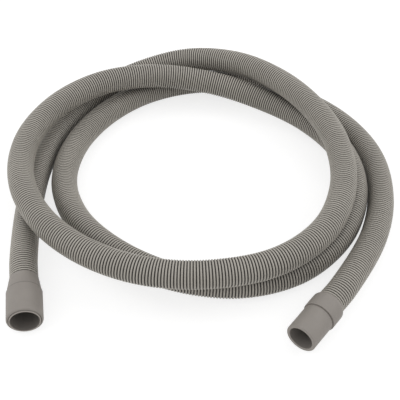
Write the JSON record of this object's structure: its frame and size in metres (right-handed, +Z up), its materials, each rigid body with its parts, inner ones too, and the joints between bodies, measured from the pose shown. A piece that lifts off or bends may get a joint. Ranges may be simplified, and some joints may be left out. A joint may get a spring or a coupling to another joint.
{
  "type": "dryer drain hose",
  "caption": "Grey corrugated drain hose with a wide bell cuff and a narrower collared cuff, lying in loose loops.",
  "frame": {"origin": "on the surface that the hose lies on, under the middle of its outline", "axes": "+Z up from the surface; the mouth of the wide cuff faces -Y; the narrow cuff's mouth faces -X and -Y"},
  "size_m": [0.3392, 0.3629, 0.052],
  "materials": {
    "hose_polypropylene": "satin moulded",
    "cuff_rubber": "matt moulded"
  },
  "bodies": {
    "root": {"corrugated_hose": "hose_polypropylene", "wide_cuff": "cuff_rubber", "narrow_cuff": "cuff_rubber"}
  },
  "joints": []
}
